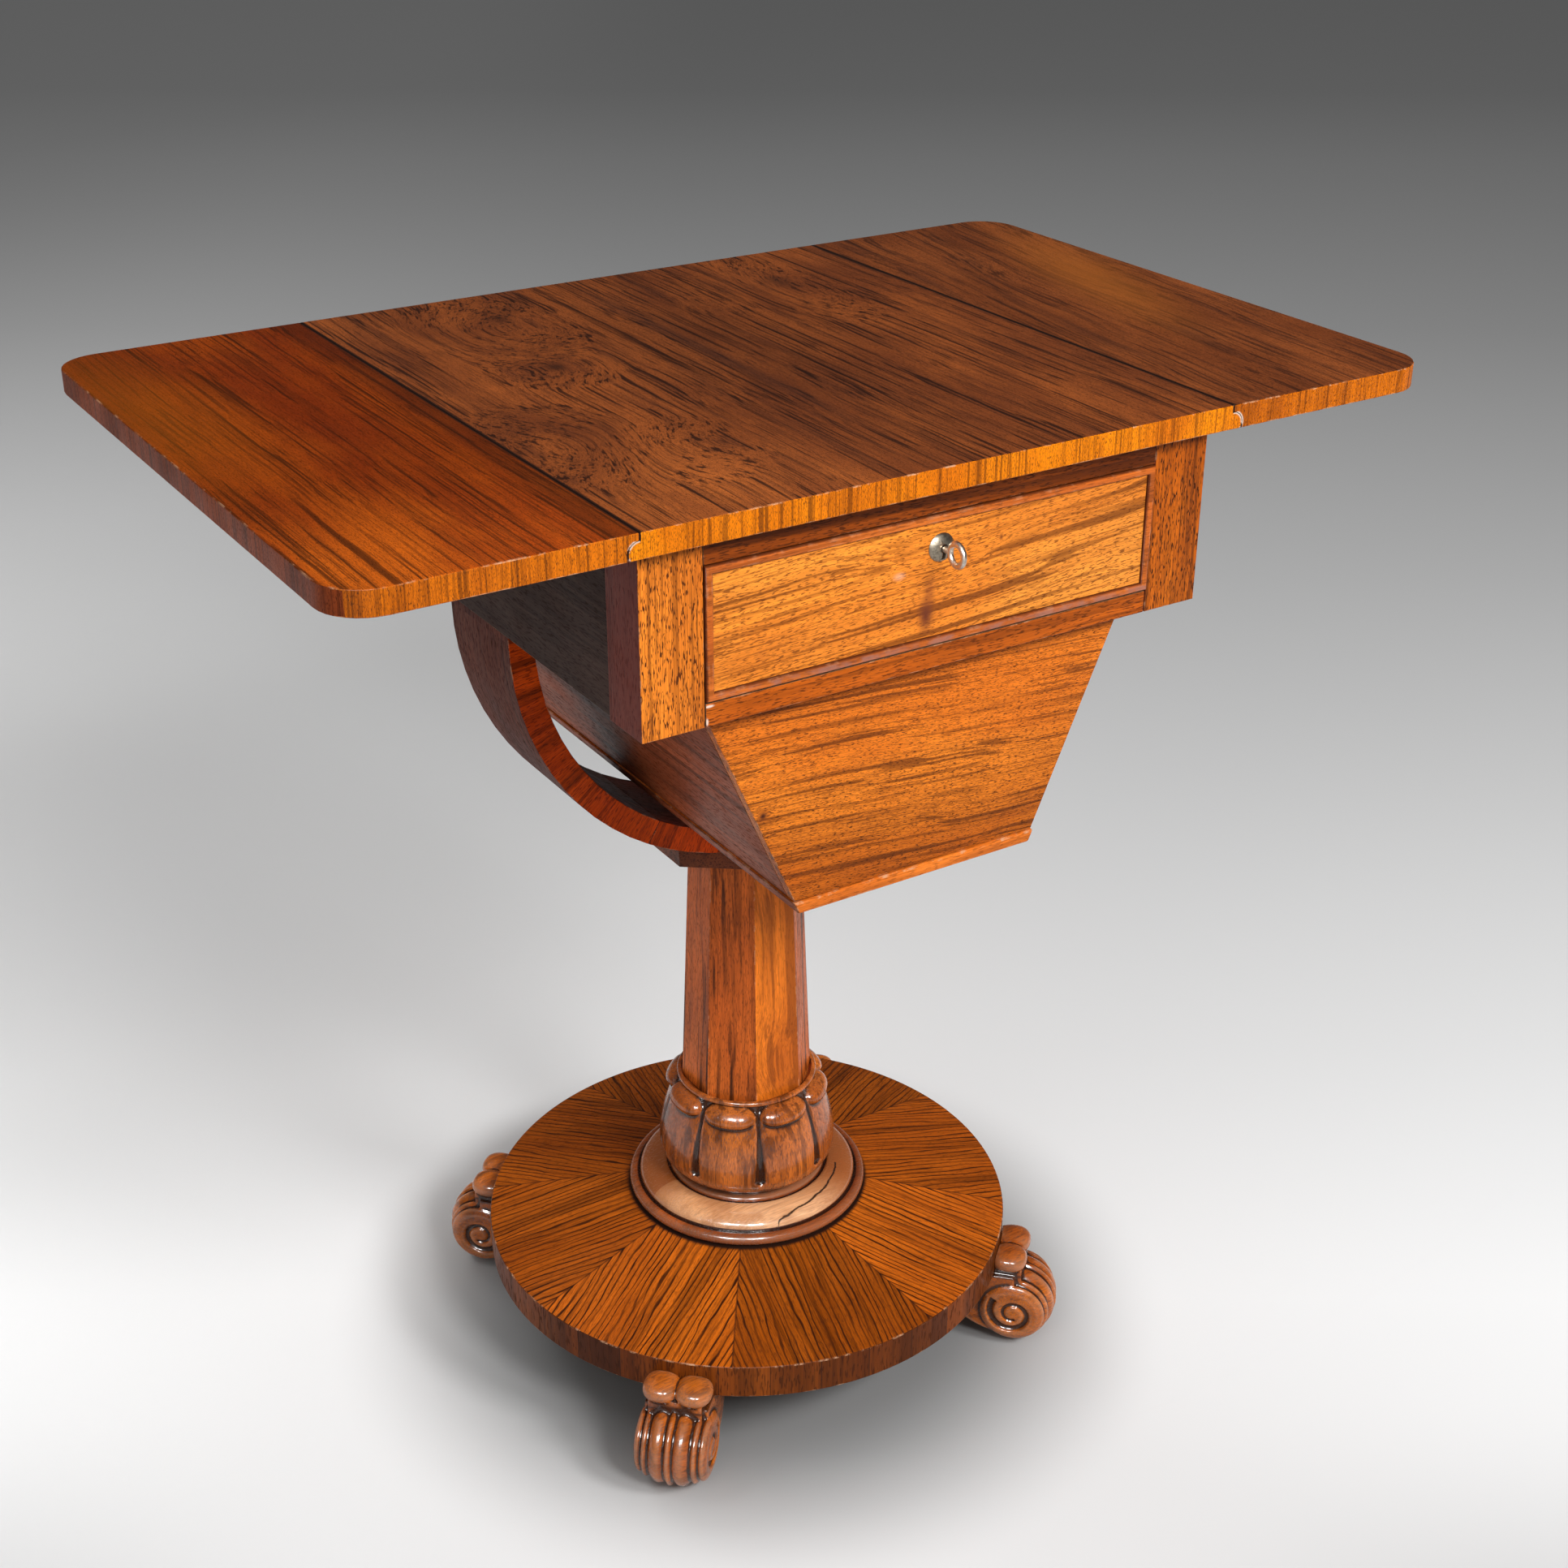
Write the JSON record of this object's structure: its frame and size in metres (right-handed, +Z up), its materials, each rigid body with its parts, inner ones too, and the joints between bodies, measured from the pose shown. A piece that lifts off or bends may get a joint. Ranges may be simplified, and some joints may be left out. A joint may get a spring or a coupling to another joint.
{
  "type": "drop-leaf work table",
  "caption": "Pedestal work table with hinged drop leaves, fly brackets, a locking drawer and a sliding tapered work box, on an octagonal column and a round plinth with scroll feet.",
  "frame": {"origin": "middle of the table's box, at floor level", "axes": "+X to the right along the spread of the leaves, +Y to the back, +Z up; the drawer opens towards -Y"},
  "size_m": [0.723, 0.4629, 0.719],
  "materials": {
    "rosewood_top": "french polished rosewood veneer",
    "rosewood_face": "french polished rosewood veneer, front faces",
    "rosewood_side": "french polished rosewood veneer, darker sides",
    "rosewood_carved": "polished carved rosewood",
    "lining_wood": "plain planed mahogany and cedar drawer linings",
    "bearer_wood": "plain planed beech and oak bearers",
    "brass": "aged brass",
    "steel": "aged steel"
  },
  "bodies": {
    "table": {"back_bottom_rail": "rosewood_face", "back_left_foot": "rosewood_carved", "back_left_post": "rosewood_face", "back_panel": "rosewood_face", "back_right_foot": "rosewood_carved", "back_right_post": "rosewood_face", "capital": "rosewood_face", "carved_collar": "rosewood_carved", "column": "rosewood_face", "front_left_foot": "rosewood_carved", "front_left_post": "rosewood_face", "front_right_foot": "rosewood_carved", "front_right_post": "rosewood_face", "front_top_rail": "rosewood_face", "left_apron": "rosewood_side", "left_back_hinge_fixed_plate": "brass", "left_back_hinge_pin": "steel", "left_drawer_runner": "bearer_wood", "left_fly_bracket_pin": "steel", "left_front_hinge_fixed_plate": "brass", "left_front_hinge_pin": "steel", "plinth": "rosewood_face", "right_apron": "rosewood_side", "right_back_hinge_fixed_plate": "brass", "right_back_hinge_pin": "steel", "right_drawer_runner": "bearer_wood", "right_fly_bracket_pin": "steel", "right_front_hinge_fixed_plate": "brass", "right_front_hinge_pin": "steel", "socle": "rosewood_carved", "top_panel": "rosewood_top", "yoke_left_arm": "rosewood_face", "yoke_right_arm": "rosewood_face", "yoke_seat": "rosewood_face"},
    "left_leaf": {"left_leaf": "rosewood_top", "left_front_hinge_leaf_plate": "brass", "left_back_hinge_leaf_plate": "brass"},
    "right_leaf": {"right_leaf": "rosewood_top", "right_front_hinge_leaf_plate": "brass", "right_back_hinge_leaf_plate": "brass"},
    "left_fly_bracket": {"left_fly_bracket": "rosewood_side"},
    "right_fly_bracket": {"right_fly_bracket": "rosewood_side"},
    "drawer": {"drawer_front": "rosewood_face", "drawer_left_side": "lining_wood", "drawer_right_side": "lining_wood", "drawer_back": "lining_wood", "drawer_bottom": "lining_wood", "drawer_cockbead": "rosewood_face", "lock_case": "brass", "escutcheon": "brass"},
    "lock_bolt": {"lock_bolt": "brass"},
    "key": {"key": "steel"},
    "workbox": {"workbox_front_rail": "rosewood_face", "workbox_front_panel": "rosewood_face", "workbox_back_panel": "rosewood_face", "workbox_left_side": "rosewood_side", "workbox_right_side": "rosewood_side", "workbox_bottom": "rosewood_face", "workbox_left_runner": "bearer_wood", "workbox_right_runner": "bearer_wood"}
  },
  "joints": [
    {"name": "left_leaf_hinge", "type": "hinge", "parent": "table", "child": "left_leaf", "pos_m": [-0.198, 0, 0.7075], "axis": [0, -1, 0], "range_deg": [0, 90]},
    {"name": "right_leaf_hinge", "type": "hinge", "parent": "table", "child": "right_leaf", "pos_m": [0.198, 0, 0.7075], "axis": [0, 1, 0], "range_deg": [0, 90]},
    {"name": "left_fly_bracket_swing", "type": "hinge", "parent": "table", "child": "left_fly_bracket", "pos_m": [-0.183, 0, 0.6827], "axis": [0, 0, -1], "range_deg": [-90, 0]},
    {"name": "right_fly_bracket_swing", "type": "hinge", "parent": "table", "child": "right_fly_bracket", "pos_m": [0.183, 0, 0.6827], "axis": [0, 0, 1], "range_deg": [-90, 0]},
    {"name": "drawer_slide", "type": "slide", "parent": "table", "child": "drawer", "axis": [0, -1, 0], "range_m": [0, 0.26]},
    {"name": "workbox_slide", "type": "slide", "parent": "table", "child": "workbox", "axis": [0, -1, 0], "range_m": [0, 0.26]},
    {"name": "key_turn", "type": "hinge", "parent": "drawer", "child": "key", "pos_m": [0, -0.2127, 0.6664], "axis": [0, 1, 0], "range_deg": [0, 90]},
    {"name": "lock_bolt_throw", "type": "slide", "parent": "drawer", "child": "lock_bolt", "axis": [0, 0, 1], "range_m": [0, 0.007]}
  ],
  "couplings": [
    {"joint": "key_turn", "follows": "lock_bolt_throw", "rad_per_m": 224.4}
  ]
}
